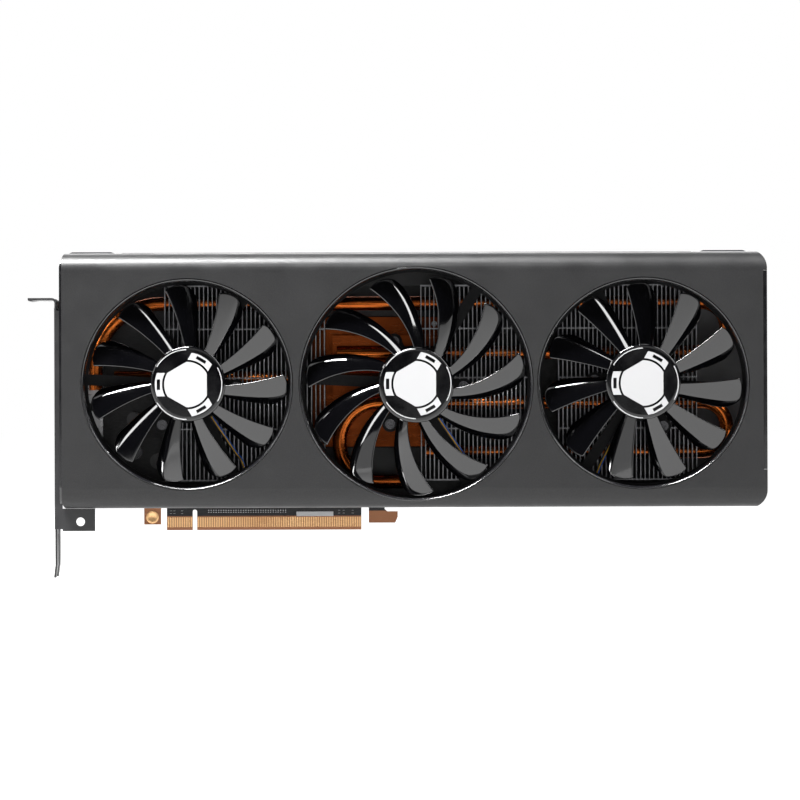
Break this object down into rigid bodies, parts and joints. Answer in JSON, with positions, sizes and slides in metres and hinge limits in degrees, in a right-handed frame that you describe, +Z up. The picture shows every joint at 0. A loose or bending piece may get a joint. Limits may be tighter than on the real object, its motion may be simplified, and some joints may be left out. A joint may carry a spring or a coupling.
{
  "type": "graphics card",
  "caption": "Long dual-slot graphics card with a grained dark shroud, spinning gloss fans, finned heatsink with copper pipes, edge connector, steel bracket and backplate.",
  "frame": {"origin": "centre of the edge connector's key notch, at the board's mid-plane, on the bottom edge of the contacts", "axes": "+X along the card away from the bracket, -Y out of the fan side, +Z up from the edge connector to the top edge"},
  "size_m": [0.3162, 0.0553, 0.1396],
  "materials": {
    "shroud_plastic": "fine grained dark grey moulding",
    "gloss_trim": "gloss black",
    "matte_black": "matte black",
    "satin_trim": "satin",
    "ring_plastic": "half gloss black",
    "frame_plastic": "matte black",
    "winding": "enamelled copper windings",
    "bearing_brass": "sintered bronze",
    "blade_gloss": "high gloss black",
    "shaft_steel": "ground steel",
    "magnet": "dark ferrite",
    "emblem": "pale satin inlay",
    "fin_aluminium": "bare sheet aluminium",
    "copper": "bare copper",
    "black_metal": "black anodised",
    "thermal_pad": "soft silicone",
    "board": "black solder mask, bare brown laminate at the cut edges",
    "gold": "gold plate",
    "package_green": "green laminate",
    "silicon": "polished silicon",
    "chip_black": "moulded chip package",
    "inductor_grey": "pressed ferrite",
    "capacitor_can": "aluminium can",
    "connector_cream": "cream nylon",
    "lead_sheath": "black sheath",
    "socket_steel": "tinned steel shell",
    "switch_white": "white nylon",
    "bracket_black": "black powder coat",
    "power_black": "black nylon",
    "backplate_black": "black satin coat",
    "spring_steel": "sprung steel",
    "screw_steel": "plated steel",
    "screw_black": "black oxide"
  },
  "bodies": {
    "card": {"shroud": "shroud_plastic", "end_trim_bracket": "gloss_trim", "end_trim_tail": "gloss_trim", "tail_grille": "matte_black", "top_trim": "satin_trim", "fan_ring_left": "ring_plastic", "fan_ring_middle": "ring_plastic", "fan_ring_right": "ring_plastic", "fan_frame_left": "frame_plastic", "fan_frame_middle": "frame_plastic", "fan_frame_right": "frame_plastic", "stator_left": "winding", "stator_middle": "winding", "stator_right": "winding", "bearing_left": "bearing_brass", "bearing_middle": "bearing_brass", "bearing_right": "bearing_brass", "fin_stack_bracket": "fin_aluminium", "fin_stack_middle": "fin_aluminium", "fin_stack_tail": "fin_aluminium", "heat_pipes": "copper", "cold_plate": "copper", "memory_plate": "black_metal", "thermal_pads": "thermal_pad", "mounting_rails": "black_metal", "circuit_board": "board", "edge_contacts": "gold", "gpu_package": "package_green", "gpu_die": "silicon", "memory_chips": "chip_black", "inductors": "inductor_grey", "capacitors": "capacitor_can", "power_stages": "chip_black", "fan_headers": "connector_cream", "fan_leads": "lead_sheath", "display_sockets": "socket_steel", "wide_display_socket": "socket_steel", "bios_switch_body": "socket_steel", "io_bracket": "bracket_black", "power_sockets": "power_black", "power_pins": "gold", "backplate": "backplate_black", "retention_spring": "spring_steel", "retention_screws": "screw_steel", "bracket_screws": "screw_steel", "fan_screws": "screw_steel", "case_screws": "screw_black"},
    "left_rotor": {"impeller_left": "blade_gloss", "fan_shaft_left": "shaft_steel", "rotor_magnet_left": "magnet", "hub_emblem_left": "emblem"},
    "middle_rotor": {"impeller_middle": "blade_gloss", "fan_shaft_middle": "shaft_steel", "rotor_magnet_middle": "magnet", "hub_emblem_middle": "emblem"},
    "right_rotor": {"impeller_right": "blade_gloss", "fan_shaft_right": "shaft_steel", "rotor_magnet_right": "magnet", "hub_emblem_right": "emblem"},
    "bios_switch": {"bios_switch_lever": "switch_white"}
  },
  "joints": [
    {"name": "left_fan_spin", "type": "hinge", "parent": "card", "child": "left_rotor", "pos_m": [-0.00185, -0.0475, 0.063], "axis": [0, -1, 0], "continuous": true},
    {"name": "middle_fan_spin", "type": "hinge", "parent": "card", "child": "middle_rotor", "pos_m": [0.09595, -0.0475, 0.063], "axis": [0, -1, 0], "continuous": true},
    {"name": "right_fan_spin", "type": "hinge", "parent": "card", "child": "right_rotor", "pos_m": [0.19295, -0.0475, 0.063], "axis": [0, -1, 0], "continuous": true},
    {"name": "bios_switch_slide", "type": "slide", "parent": "card", "child": "bios_switch", "axis": [1, 0, 0], "range_m": [0, 0.002]}
  ]
}
